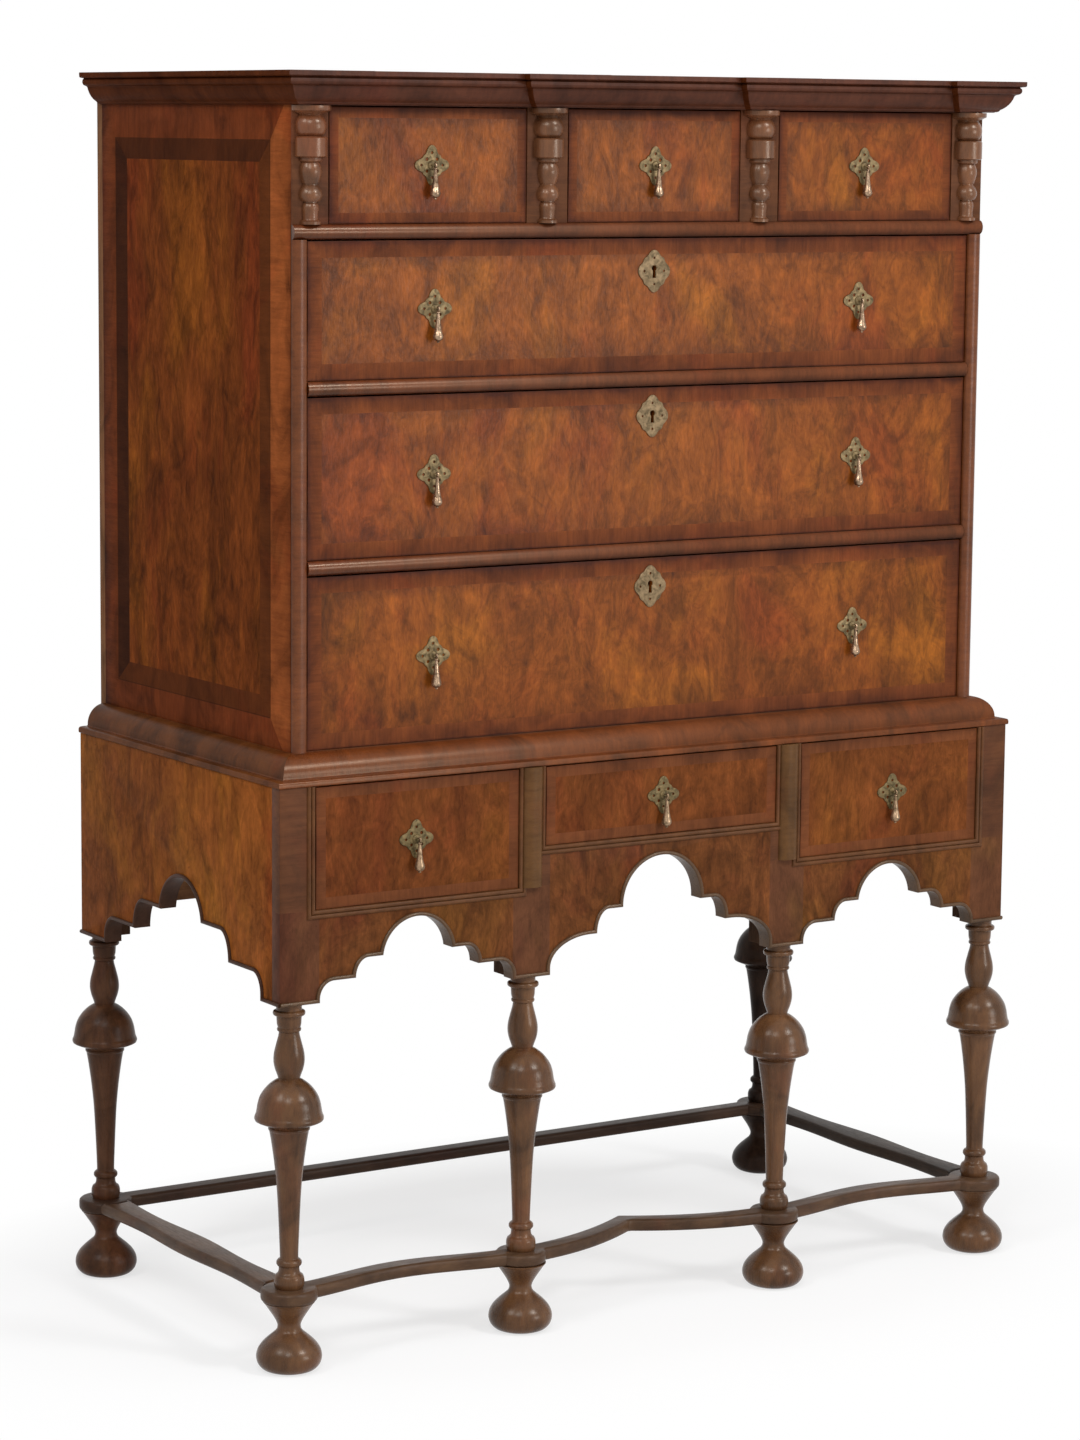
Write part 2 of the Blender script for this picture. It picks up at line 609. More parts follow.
def make_looks():
    looks = {"pine": pine_wood("pine")}
    for name, (colour, polish, contrast, more) in BURRS.items():
        looks[name] = burr_veneer(name, srgb(*colour), polish, contrast, **more)
    for name, (grain, colour, polish, contrast, more) in GRAINS.items():
        looks[name] = grain_veneer(name, grain, srgb(*colour), polish, contrast, **more)
    for name, (dark, light, roughness, metal) in METALS.items():
        looks[name] = aged_brass(name, srgb(*dark), srgb(*light), roughness, metal)
    return looks


LOOKS = make_looks()
UPPER_WOODS = ("burr_walnut", "crossband_x", "crossband_z")
STAND_WOODS = ("burr_walnut_stand", "crossband_stand_x", "crossband_stand_z")
SIDE_WOODS = ("side_frame_y", "side_frame_rear", "side_frame_z", "side_string",
              "side_band_front", "side_band_rear", "side_band_top", "side_band_foot", "side_panel")


# Points and profiles
def curved(points, steps=5):
    """A smooth line through all the points, with its ends held."""
    ends = [points[0]] + list(points) + [points[-1]]
    line = [points[0]]
    for near in zip(ends, ends[1:], ends[2:], ends[3:]):
        for i in range(1, steps + 1):
            t = i / steps
            line.append(tuple(
                0.5 * (2 * q + (r - p) * t + (2 * p - 5 * q + 4 * r - s) * t ** 2
                       + (3 * q - p - 3 * r + s) * t ** 3)
                for p, q, r, s in zip(*near)))
    return line


def arc(cx, cy, rx, ry, start, end, steps):
    """Points of an ellipse from one angle to another, both in degrees, ends included."""
    angles = [math.radians(start + (end - start) * i / steps) for i in range(steps + 1)]
    return [(cx + rx * math.cos(a), cy + ry * math.sin(a)) for a in angles]


def circle(cx, cy, radius, points=14):
    angles = [TURN * i / points for i in range(points)]
    return [(cx + radius * math.cos(a), cy + radius * math.sin(a)) for a in angles]


def chain(*parts):
    """Lines joined end to end, without doubled points."""
    line = []
    for point in (point for part in parts for point in part):
        if not line or math.dist(line[-1], point) > SAME_POINT:
            line.append(point)
    return line


# Meshes
def fill(work, verts, faces):
    """Adds points, in millimetres, and faces to a mesh, and gives both."""
    made = [work.verts.new(place(*v)) for v in verts]
    return made, [work.faces.new([made[i] for i in face]) for face in faces]


def soften(work, edges, width):
    bmesh.ops.bevel(work, geom=edges, offset=width * MM, segments=2, profile=0.6, affect="EDGES",
                    clamp_overlap=True)


def add(name, data):
    """Puts a mesh, lamp or camera into the scene."""
    made = bpy.data.objects.new(name, data)
    bpy.context.collection.objects.link(made)
    return made


def add_mesh(name, work):
    mesh = bpy.data.meshes.new(name)
    work.to_mesh(mesh)
    work.free()
    return add(name, mesh)


def dress(name, work, materials, slot="walnut", body="chest", replaces=None, pick=None, cuts=(), bevel=0,
          crisp=CRISP):
    """Makes an edited mesh a piece of its body. replaces is the node that it stands for, pick chooses a
    face's material from its middle and normal, and cuts are planes that split the faces: point and normal."""
    bmesh.ops.remove_doubles(work, verts=work.verts, dist=WELD * MM)
    bmesh.ops.recalc_face_normals(work, faces=work.faces)
    for origin, normal in cuts:
        parts = work.verts[:] + work.edges[:] + work.faces[:]
        at = place(*origin)
        bmesh.ops.bisect_plane(work, geom=parts, plane_co=at, plane_no=normal, dist=CUT_REACH * MM)
    if bevel:
        work.normal_update()
        least = math.radians(crisp)
        edges = [e for e in work.edges if len(e.link_faces) == 2 and e.calc_face_angle(0) > least]
        soften(work, edges, bevel)
    for face in work.faces:
        face.smooth = True
        if pick:
            middle = face.calc_center_median() / MM
            face.material_index = pick((middle.x, middle.y - CASE_FRONT, middle.z), face.normal)
    made = add_mesh(name, work)
    made.data.set_sharp_from_angle(angle=math.radians(crisp))
    for material in materials:
        made.data.materials.append(LOOKS[material])
    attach(made, body)
    if replaces:
        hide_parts(replaces)
    return made


def piece(name, mesh, materials, slot="walnut", **more):
    """Makes a piece from points in millimetres and faces."""
    work = bmesh.new()
    fill(work, *mesh)
    return dress(name, work, materials, slot, **more)


def board(name, x, y, z, material, slot="walnut", bevel=BOARD_EDGE, **more):
    verts = [(px, py, pz) for pz in z for py in y for px in x]
    faces = [(0, 2, 3, 1), (4, 5, 7, 6), (0, 1, 5, 4), (2, 6, 7, 3), (0, 4, 6, 2), (1, 3, 7, 5)]
    return piece(name, (verts, faces), [material], slot, bevel=bevel, **more)


def loft(rings, caps=False, closed=False):
    """Points and faces of a skin over rings of points; a ring of one point is a pole."""
    width = max(len(ring) for ring in rings)
    verts = []
    numbers = []
    for ring in rings:
        numbers.append([len(verts) + i % len(ring) for i in range(width)])
        verts += ring
    faces = []
    for low, high in zip(numbers, numbers[1:] + numbers[:closed]):
        for i in range(width):
            k = (i + 1) % width
            corners = [low[i], low[k], high[k], high[i]]
            faces.append([c for j, c in enumerate(corners) if c not in corners[:j]])
    faces = [face for face in faces if len(face) > 2]
    if caps:
        faces += [numbers[0][::-1], numbers[-1]]
    return verts, faces


def turning_mesh(profile, x, y, sides):
    """A turning about a vertical line, from (radius, height) points that start and end at radius 0."""
    rings = [circle(x, y, radius, sides if radius else 1) for radius, z in profile]
    return loft([[(u, v, z) for u, v in ring] for ring, (radius, z) in zip(rings, profile)])


def half_turning_mesh(profile, x, y, sides):
    """The front half of a turning, closed by a flat back."""
    rings = [arc(x, y, radius, radius, 180, 360, sides) for radius, z in profile]
    return loft([[(u, v, z) for u, v in ring] for ring, (radius, z) in zip(rings, profile)], caps=True)


def swept_mesh(path, section, to_space):
    """A section of (outward, up) points along a flat path, mitred at its corners; outward is to the right."""
    normals = []
    for a, b in zip(path, path[1:]):
        length = math.dist(a, b)
        normals.append(((b[1] - a[1]) / length, (a[0] - b[0]) / length))
    rings = []
    for (x, y), first, last in zip(path, normals[:1] + normals, normals + normals[-1:]):
        scale = 1 / (1 + first[0] * last[0] + first[1] * last[1])
        along_x = (first[0] + last[0]) * scale
        along_y = (first[1] + last[1]) * scale
        rings.append([to_space(x + along_x * u, y + along_y * u, v) for u, v in section])
    return loft(rings, caps=True)


def from_curve(name, lines, cyclic, **settings):
    """The mesh that a curve's settings give its lines, ready to edit."""
    curve = bpy.data.curves.new(name, "CURVE")
    for key, value in settings.items():
        setattr(curve, key, value)
    for line in lines:
        spline = curve.splines.new("POLY")
        spline.points.add(len(line) - 1)
        for point, at in zip(spline.points, line):
            point.co = (*at, 1)
        spline.use_cyclic_u = cyclic
    holder = bpy.data.objects.new(name, curve)
    mesh = bpy.data.meshes.new_from_object(holder)
    work = bmesh.new()
    work.from_mesh(mesh)
    bpy.data.objects.remove(holder)
    bpy.data.curves.remove(curve)
    bpy.data.meshes.remove(mesh)
    return work


def flat_plate(name, outlines, depth, edge, to_space, materials, slot="walnut", **more):
    """A flat plate from closed outlines, holes included, with rounded edges; depth runs from 0 up."""
    lines = [[(x, y, 0) for x, y in outline] for outline in outlines]
    work = from_curve(name, lines, True, dimensions="2D", fill_mode="BOTH", extrude=depth / 2 - edge,
                      bevel_depth=edge, bevel_resolution=2, offset=-edge)
    for vert in work.verts:
        vert.co = place(*to_space(vert.co.x, vert.co.y, vert.co.z + depth / 2))
    return dress(name, work, materials, slot, **more)


def banded_board(name, across, up, depth, to_space, bands, picks, materials, worn=(1,), bevel=BOARD_EDGE,
                 **more):
    """A board with nested bands on its front. bands gives their insets at the left, right, foot and top,
    picks the materials of their strips at the foot, right, top and left, and worn how worn each band is."""
    spans = [(*across, *up)]
    for left, right, foot, top in bands:
        u0, u1, v0, v1 = spans[-1]
        spans.append((u0 + left, u1 - right, v0 + foot, v1 - top))
    rings = [[(u0, v0), (u1, v0), (u1, v1), (u0, v1)] for u0, u1, v0, v1 in spans]
    verts, faces = loft([[to_space(u, v, depth[0]) for u, v in ring] for ring in rings])
    count = len(verts)
    verts += [to_space(u, v, depth[1]) for u, v in rings[0]]
    faces.append(range(count - 4, count))
    faces += [(k, (k + 1) % 4, count + (k + 1) % 4, count + k) for k in range(4)]
    faces.append(range(count, count + 4))
    marks = [mark for strips in picks for mark in strips] + [*picks[0], picks[0][0]]
    work = bmesh.new()
    rim = work.verts.layers.float.new("rim")
    made, sides = fill(work, verts, faces)
    for face, mark in zip(sides, marks):
        face.material_index = mark
    levels = [*worn, *[0] * (len(rings) - len(worn)), worn[0]]
    for i, vert in enumerate(made):
        vert[rim] = levels[i // 4]
    outer = made[:4] + made[count:]
    soften(work, [e for e in work.edges if all(v in outer for v in e.verts)], bevel)
    return dress(name, work, materials, **more)


def on_front(y):
    """Maps a flat (x, z) and a height off the face to the front of a board at y."""
    return lambda u, v, out: (u, y - out, v)


def moulding(name, path, y, width, proud, material, steps=10, root=2):
    """A half-round bar along a path on a front, with its root let into it."""
    section = [(-width / 2, -root)] + arc(0, 0, width / 2, proud, 180, 0, steps) + [(width / 2, -root)]
    return piece(name, swept_mesh(path, section, on_front(y)), [material])


# Upper case
def side_or_front(middle, normal):
    """Picks the second material for what faces left or right."""
    return 1 if abs(normal.x) > abs(normal.y) else 0


def make_case_side(name, sign):
    bands = [SIDE_FRAME, (SIDE_LINE,) * 4, SIDE_BAND]
    picks = [(2, 1, 2, 0), (3, 3, 3, 3), (7, 5, 6, 4), (8,)]
    depth = (sign * HALF_CASE, sign * CASE_INNER)
    banded_board(f"side_board_{name}", (0, CASE_DEPTH), (CASE_BASE, CASE_TOP), depth,
                 lambda u, v, x: (x, u, v), bands, picks, SIDE_WOODS, slot="side_walnut",
                 replaces=f"case_side_{name}")
    x = sign * (HALF_CASE - BOARD / 2)
    path = [(x, CASE_FLOOR - INSET), (x, SHORT_FLOOR - RAIL)]
    moulding(f"edge_moulding_{name}", path, 0, BOARD, RAIL_PROUD, "moulding_across_z")
    height = (SHORT_FLOOR, CORNICE_BOTTOM)
    outer = mirrored(sign, HALF_CASE - END_STILE, HALF_CASE - BOARD)
    board(f"end_stile_{name}", outer, (0, STILE_DEPTH), height, "stile_walnut", bevel=FINE_EDGE)
    face = mirrored(sign, HALF_CASE - END_STILE, HALF_CASE)
    board(f"end_stile_face_{name}", face, (-STILE_SKIN, SKIN_DEPTH), height, "stile_walnut", bevel=FINE_EDGE)
    mid = mirrored(sign, SHORT_MIDDLE / 2, SHORT_MIDDLE / 2 + MID_STILE)
    board(f"mid_stile_{name}", mid, (-STILE_SKIN, STILE_DEPTH), height, "stile_walnut", bevel=STILE_SKIN,
          replaces=f"partition_{name}")
    middle = sign * MID_STILE_X
    web = (middle - WEB / 2, middle + WEB / 2)
    board(f"partition_web_{name}", web, (STILE_DEPTH, CASE_DEPTH), height, "pine", "pine")


def make_rail(i, z, reach):
    """A rail over a row of drawers, with its half-round face, which is soiled towards its lower edge."""
    inner = (-CASE_INNER, CASE_INNER)
    board(f"dustboard_panel_{i}", inner, (STILE_DEPTH, CASE_DEPTH), (z + INSET, z + RAIL - INSET),
          "pine", "pine", replaces=f"dustboard_{i}")
    board(f"rail_{i}", inner, (0, STILE_DEPTH), (z, z + RAIL), "stile_walnut", bevel=FINE_EDGE)
    middle = z + RAIL / 2
    path = [(-reach, middle), (reach, middle)]
    bar = moulding(f"rail_moulding_{i}", path, 0, RAIL, RAIL_PROUD, "rail_walnut")
    rim = bar.data.attributes.new("rim", "FLOAT", "POINT")
    for vert, mark in zip(bar.data.vertices, rim.data):
        mark.value = max(0, (middle - vert.co.z / MM) / (RAIL / 2))


def make_case():
    for name, sign in SIDES:
        make_case_side(name, sign)
    inner = (-CASE_INNER, CASE_INNER)
    reach = HALF_CASE - CORNICE_ROOT
    board("top_board", (-reach, reach), (0, CASE_DEPTH), (CASE_TOP, OVERALL_TOP), "top_walnut", "side_walnut",
          replaces="case_top")
    board("top_rail", inner, (0, STILE_DEPTH), (CORNICE_BOTTOM, CASE_TOP), "stile_walnut")
    board("floor_lip", inner, (-STILE_SKIN, STILE_DEPTH), (WAIST_TOP - LIP_LAP, CASE_FLOOR + LIP_RISE),
          "stile_walnut", bevel=LIP_EDGE)
    reaches = (CASE_INNER, CASE_INNER, HALF_CASE)
    for i, (z, height, reach) in enumerate(zip(LONG_FLOORS, LONG_OPENINGS, reaches)):
        make_rail(i + 1, z + height, reach)


def make_case_back():
    """The boards at the back, side by side, each with a small gap to the next."""
    x = -HALF_CASE
    depth = (CASE_DEPTH, CASE_DEPTH + BACK_THICKNESS)
    for i, width in enumerate(BACK_BOARDS):
        board(f"back_board_{i + 1}", (x + BACK_GAP, x + width - BACK_GAP), depth, (CASE_BASE, OVERALL_TOP),
              "pine_upright", "pine", bevel=BACK_EDGE, replaces=None if i else "case_back")
        x += width


# A baluster's radii and heights above its foot
BALUSTER = chain(
    [(0.01, 0), (12.6, 0), (12.8, 3.4)],
    curved([(11.6, 4), (9.6, 6.4), (9.8, 14), (10.4, 20), (9.4, 24)]),
    [(8.4, 25), (8.4, 26.6)],
    curved([(11.4, 27), (14, 31), (14.6, 36), (13, 41), (10.4, 45)]),
    [(9.4, 46), (9.4, 47.4)],
    curved([(10.4, 48), (12.6, 55), (13.8, 62), (13, 68), (11, 73)]),
    [(13.6, 74), (14.4, 75), (14.2, 78.2), (18.6, 79), (20, 80), (20, 101.6), (18.6, 103)],
    curved([(14.2, 103.6), (17.6, 107.4), (19.3, 113), (19.2, 119), (17.4, 124), (14.4, 128)]),
    curved([(14.2, 129), (16.4, 130), (20.4, 131.6), (23, 133)]),
    [(24.6, 133.6), (25, 134.4), (25, 139.4), (0.01, 139.6)],
)


def make_balusters():
    profile = [(radius, SHORT_FLOOR + rise) for radius, rise in BALUSTER]
    for i, x in enumerate((-END_STILE_X, -MID_STILE_X, MID_STILE_X, END_STILE_X)):
        half = half_turning_mesh(profile, x, -STILE_SKIN, BALUSTER_SIDES)
        piece(f"turned_baluster_{i + 1}", half, ["baluster_walnut"], "dark_walnut",
              replaces=f"split_baluster_{i + 1}")


# Sections as outward and upward, from the foot of the cornice and from the stand's top
CORNICE = chain(
    [(0.3, 0), (2.4, 0)],
    curved([(2.6, 0.6), (5.4, 1), (7.3, 2.8)]),
    curved([(7.5, 3.4), (12, 6.6), (16, 11.2), (18.8, 16.4), (20.6, 21.6)]),
    curved([(22, 22.8), (25.6, 24.2), (27.4, 27), (27.2, 30.4), (25.4, 32.6)]),
    [(30.6, 33.4), (31.8, 34.4), (32, 39.4), (31.4, CORNICE_HEIGHT)],
)
WAIST_RISE = WAIST_TOP - STAND_TOP
WAIST = chain(
    [(WAIST_SEAT, 0.2), (37.4, 0.2), (38.5, 1.2)],
    curved([(38.5, 4.8), (37.6, 7), (35.4, 8)]),
    [(30, 8.4), (26.4, 8.4), (25.5, 9.2)],
    arc(0.3, 10.4, WAIST_SEAT - 0.3, WAIST_RISE - 10.4, 0, 90, 20),
    [(0.3, WAIST_RISE - 22), (WAIST_SEAT - 3, 4)],
)


def make_cornice():
    recess = -CORNICE_SETBACK
    proud = recess - CORNICE_BREAK
    half = CORNICE_BREAK_HALF
    left = [(-HALF_CASE, CASE_DEPTH), (-HALF_CASE, proud)]
    left += [(half - END_STILE_X, proud), (half - END_STILE_X, recess)]
    left += [(-MID_STILE_X - half, recess), (-MID_STILE_X - half, proud)]
    left += [(half - MID_STILE_X, proud), (half - MID_STILE_X, recess)]
    path = left + [(-x, y) for x, y in reversed(left)]
    section = CORNICE + [(-CORNICE_ROOT, CORNICE_HEIGHT), (-CORNICE_ROOT, 0)]
    swept = swept_mesh(path, section, lambda u, v, rise: (u, v, CORNICE_BOTTOM + rise))
    piece("cornice_moulding", swept, ["cornice_front", "cornice_side"], "dark_walnut", replaces="cornice",
          pick=side_or_front)
    for i, x in enumerate((-END_STILE_X, -MID_STILE_X, MID_STILE_X, END_STILE_X)):
        xs = (max(x - half, -HALF_CASE) + CORNICE_ROOT, min(x + half, HALF_CASE) - CORNICE_ROOT)
        board(f"cornice_block_{i + 1}", xs, (proud + CORNICE_ROOT, recess + CORNICE_ROOT),
              (CORNICE_BOTTOM, OVERALL_TOP), "cornice_front", "dark_walnut", bevel=0)


def make_waist():
    path = [(-HALF_CASE, STAND_BACK), (-HALF_CASE, 0), (HALF_CASE, 0), (HALF_CASE, STAND_BACK)]
    swept = swept_mesh(path, WAIST, lambda u, v, rise: (u, v, STAND_TOP + rise))
    piece("waist_band", swept, ["waist_front", "waist_side"], replaces="waist_moulding", pick=side_or_front)


# Stand
def whole_arch(centre, half, corner, shoulder, step_at, step, step_top, crown, crown_at):
    """The edge of an arch from its left foot over to its right foot."""
    corner_width, corner_rise = corner
    meet = math.degrees(math.asin((step_top - crown_at) / crown))
    right = chain(
        [(half, 0), (half, shoulder - corner_rise)],
        arc(half - corner_width, shoulder - corner_rise, corner_width, corner_rise, 0, 90, 14),
        [(step_at, shoulder)],
        arc(step_at - step, shoulder, step, step_top - shoulder, 0, 90, 12),
        [(crown * math.cos(math.radians(meet)), step_top)],
        arc(0, crown_at, crown, crown, meet, 90, 18),
    )
    left = [(-x, z) for x, z in right[:-1]]
    return [(centre + x, STAND_BASE + z) for x, z in left + right[::-1]]


def apron_bead(name, edge, to_space, material):
    """A bead along the lower edge of an apron, with a rounded nose."""
    half = (BEAD + BEAD_SKIN) / 2
    nose = arc(half - BEAD_SKIN, BEAD_PROUD - BEAD / 2, half, BEAD / 2, 180, 0, 8)
    section = [(-BEAD_SKIN, -BOARD - BEAD_SKIN)] + nose + [(BEAD, -BOARD - BEAD_SKIN)]
    piece(f"apron_bead_{name}", swept_mesh(edge[::-1], section, to_space), [material])


def make_stand_front():
    centre = (CORNER_INNER + INNER_OUT) / 2
    half = (CORNER_INNER - INNER_OUT) / 2
    edge = [(-HALF_STAND, STAND_BASE)] + whole_arch(-centre, half, **OUTER_ARCH)
    edge += whole_arch(0, INNER_IN, **MIDDLE_ARCH) + whole_arch(centre, half, **OUTER_ARCH)
    edge.append((HALF_STAND, STAND_BASE))
    upper = [(HALF_STAND, STAND_TOP), (END_OPENING, STAND_TOP), (END_OPENING, OUTER_LEVEL)]
    upper += [(OPENING_IN, OUTER_LEVEL), (OPENING_IN, STAND_TOP)]
    upper += [(MIDDLE_HALF, STAND_TOP), (MIDDLE_HALF, MIDDLE_LEVEL)]
    upper += [(-x, z) for x, z in reversed(upper)]
    lines = [-CORNER_INNER, -INNER_OUT, -INNER_IN, INNER_IN, INNER_OUT, CORNER_INNER]
    cuts = [((x, 0, 0), (1, 0, 0)) for x in lines] + [((0, 0, OUTER_LEVEL), (0, 0, 1))]

    def pick(middle, normal):
        x = abs(middle[0])
        if x > CORNER_INNER or INNER_IN < x < INNER_OUT:
            return 1 if middle[2] > OUTER_LEVEL else 2
        return 0

    woods = ["burr_walnut_apron", "stile_walnut", "burr_walnut_block"]
    flat_plate("apron_front", [edge + upper], BOARD, APRON_EDGE, on_front(APRON_BACK), woods,
               replaces="stand_front", pick=pick, cuts=cuts)
    apron_bead("front", edge, on_front(STAND_FRONT), "bead_walnut")
    for name, sign in SIDES:
        x = sign * DIVIDER
        path = [(x, OUTER_LEVEL), (x, STAND_TOP)]
        moulding(f"divider_moulding_{name}", path, STAND_FRONT, DIVIDER_MOULDING, DIVIDER_PROUD,
                 "divider_walnut")
        block = mirrored(sign, INNER_IN, INNER_OUT)
        board(f"glue_block_{name}", block, (APRON_BACK, APRON_BACK + POST_DEPTH),
              (STAND_BASE + INSET, GLUE_BLOCK_TOP), "underside_walnut", "pine")


def edge_beads(name, x, z):
    """Two small beads side by side round the sides and foot of a drawer's opening."""
    for i in range(2):
        off = EDGE_BEAD * (i + 0.5)
        left, right, foot = x[0] - off, x[1] + off, z - off
        path = [(left, STAND_TOP), (left, foot), (right, foot), (right, STAND_TOP)]
        moulding(f"drawer_bead_{name}_{i + 1}", path, STAND_FRONT, EDGE_BEAD, EDGE_BEAD_PROUD,
                 "bead_dark_walnut", steps=8, root=1)


def make_stand_beads():
    for name, sign in SIDES:
        edge_beads(name, mirrored(sign, OPENING_IN, END_OPENING), OUTER_LEVEL)
    edge_beads("middle", (-MIDDLE_HALF, MIDDLE_HALF), MIDDLE_LEVEL)


def make_stand_side(name, sign):
    def on_side(u, v, out):
        return (sign * (HALF_STAND + out), u, v)

    def on_board(u, v, out):
        return on_side(u, v, out - BOARD)

    front = STAND_FRONT + SIDE_FRONT_BLOCK
    back = STAND_BACK - SIDE_BACK_BLOCK
    edge = whole_arch((front + back) / 2, (back - front) / 2, **SIDE_ARCH) + [(STAND_BACK, STAND_BASE)]
    outline = [(APRON_BACK, STAND_BASE)] + edge + [(STAND_BACK, STAND_TOP), (APRON_BACK, STAND_TOP)]
    flat_plate(f"apron_side_{name}", [outline], BOARD, APRON_EDGE, on_board, ["burr_walnut_side"],
               "side_walnut", replaces=f"stand_side_{name}")
    apron_bead(name, [(STAND_FRONT, STAND_BASE)] + edge, on_side, "bead_side_walnut")
    posts = mirrored(sign, POST_INNER, HALF_STAND - BOARD)
    post_front = APRON_BACK + POST_DEPTH
    post_back = STAND_BACK - BACK_POST
    for end, span in (("front", (APRON_BACK, post_front)), ("back", (post_back, STAND_BACK))):
        board(f"post_{end}_{name}", posts, span, (STAND_BASE + INSET, STAND_TOP), "underside_walnut", "pine")
    runner = mirrored(sign, HALF_STAND - BOARD - RUNNER_REACH, HALF_STAND - BOARD)
    board(f"drawer_runner_{name}", runner, (post_front, post_back), (OUTER_LEVEL - RUNNER, OUTER_LEVEL),
          "pine", "pine")


# Legs, feet and stretchers; a turning's points are its radii and heights above the floor
LEG = chain(
    [(0, 60), (9, 60), (9, STRETCHER_TOP), (17, STRETCHER_TOP)],
    curved([(17.4, 103.6), (18.4, 107), (18.8, 111.5), (18.4, 116), (17, 119.4)]),
    curved([(15.4, 120.4), (13.4, 123), (12.6, 127), (12.8, 130.4)]),
    curved([(14, 131), (15.4, 133), (15.6, 135), (15.2, 137), (13.6, 139)]),
    curved([(11.6, 140), (11.3, 145), (12.2, 170), (13.5, 200),
            (15.2, 230), (18.2, 260), (21.6, 285), (24, 299)], 6),
    curved([(24.2, 300), (25.4, 301.5), (25.4, 303.4), (24.6, 304.6)]),
    curved([(25, 305), (29, 307.4), (35.4, 310), (40, 312)]),
    curved([(41.4, 312.8), (42.3, 315), (42, 317.6), (40.6, 321), (39.6, 326), (38.2, 334),
            (35.4, 342.4), (30.6, 350), (24.6, 356.6), (18, 361.6), (14.2, 363.6)], 6),
    curved([(13.2, 364.4), (14.6, 369), (17.4, 377), (19, 386),
            (18.4, 396), (15.8, 407), (13.2, 417), (12.4, 422)], 6),
    [(13, 422.8), (14.2, 423.4), (14.8, 425), (14.4, 426.6), (13.6, 427.2)],
    curved([(13.8, 428), (14.8, 432), (15.2, 438), (15.4, 441.6)]),
    curved([(17.4, 442.2), (19.2, 443.4), (19.8, 445.6), (19.2, 447.8), (17.2, 448.8)]),
    curved([(15.8, 449.4), (15.6, 453), (16.2, 455), (16.4, STAND_BASE)]),
    [(11, STAND_BASE), (11, 515), (0, 515)],
)
FOOT = chain(
    [(0, 0.2), (26, 0.2)],
    curved([(27, 0.6), (33, 3), (38, 8.4), (40.2, 15), (40, 21), (38, 27), (34, 33), (28.6, 38.6), (22.4, 44),
            (16.6, 49)]),
    curved([(14.8, 52), (14.2, 56), (15.2, 60), (17.4, 64.6),
            (20.4, 69.6), (23.6, 74.4), (27.4, 80), (30.6, 84.6)]),
    [(32, 86), (32, STRETCHER_BOTTOM), (9.3, STRETCHER_BOTTOM), (9.3, 58), (0, 58)],
)
LEGS = (
    ("front_left", -LEG_X, LEG_FRONT_Y, "turned_walnut"),
    ("front_mid_left", -INNER_LEG_X, LEG_FRONT_Y, "turned_walnut"),
    ("front_mid_right", INNER_LEG_X, LEG_FRONT_Y, "turned_walnut"),
    ("front_right", LEG_X, LEG_FRONT_Y, "turned_walnut"),
    ("back_left", -LEG_X, LEG_BACK_Y, "turned_walnut_back"),
    ("back_right", LEG_X, LEG_BACK_Y, "turned_walnut_far"),
)


def turned(name, node, mesh, wood):
    piece(name, mesh, [wood], "turned_walnut", replaces=node, crisp=TURNED_CRISP)


def make_legs():
    for name, x, y, wood in LEGS:
        turned(f"turned_leg_{name}", f"leg_{name}", turning_mesh(LEG, x, y, LEG_SIDES), wood)
        turned(f"bun_foot_{name}", f"foot_{name}", turning_mesh(FOOT, x, y, FOOT_SIDES), wood)


def strip_between(start, end, half, middle_at):
    """The near and far edge of a strip, as a function of the place along it."""
    def edges(along):
        t = (along - start) / (end - start)
        return (middle_at(t) - half, middle_at(t) + half) if 0 <= t <= 1 else None
    return edges


def lobe_at(cx, cy, radius):
    """The near and far edge of a round lobe, as a function of the place along X."""
    def edges(along):
        reach = radius ** 2 - (along - cx) ** 2
        return (cy - math.sqrt(reach), cy + math.sqrt(reach)) if reach >= 0 else None
    return edges


def joined_outline(strips, lobes, y, step):
    """The outline round strips and lobes that overlap; lobes are (x, radius) from left to right."""
    shapes = strips + [lobe_at(x, y, radius) for x, radius in lobes]
    start = lobes[0][0] - lobes[0][1]
    end = lobes[-1][0] + lobes[-1][1]
    count = round((end - start) / step)
    places = {start + (end - start) * i / count for i in range(1, count)} | {start, end}
    places |= {x + radius * math.cos(math.pi * i / 16) for x, radius in lobes for i in range(17)}
    near = []
    far = []
    for along in sorted(places):
        found = [edges for edges in (shape(along) for shape in shapes) if edges]
        near.append((along, min(low for low, high in found)))
        far.append((along, max(high for low, high in found)))
    return chain(near + far[::-1])


def side_outline(x):
    """A waved strip between two lobes, hollowed at its ends to fit round them."""
    radius = LOBE + JOINT_GAP
    near = []
    far = []
    for i in range(WAVE_STEPS + 1):
        t = i / WAVE_STEPS
        along = LEG_FRONT_Y + (LEG_BACK_Y - LEG_FRONT_Y) * t
        half = SIDE_STRETCHER_HALF - SIDE_STRETCHER_WAVE * math.sin(TURN * t) ** 2
        if min(along - LEG_FRONT_Y, LEG_BACK_Y - along) ** 2 > radius ** 2 - half ** 2:
            near.append((x - half, along))
            far.append((x + half, along))
    reach = math.degrees(math.asin(SIDE_STRETCHER_HALF / radius))
    front = arc(x, LEG_FRONT_Y, radius, radius, 90 - reach, 90 + reach, 8)
    back = arc(x, LEG_BACK_Y, radius, radius, 270 - reach, 270 + reach, 8)
    return chain(front, near, back, far[::-1])


def stretcher(name, node, outline, wood):
    flat_plate(name, [outline], STRETCHER_TOP - STRETCHER_BOTTOM, STRETCHER_EDGE,
               lambda u, v, out: (u, v, STRETCHER_BOTTOM + out), [wood], "turned_walnut", replaces=node)


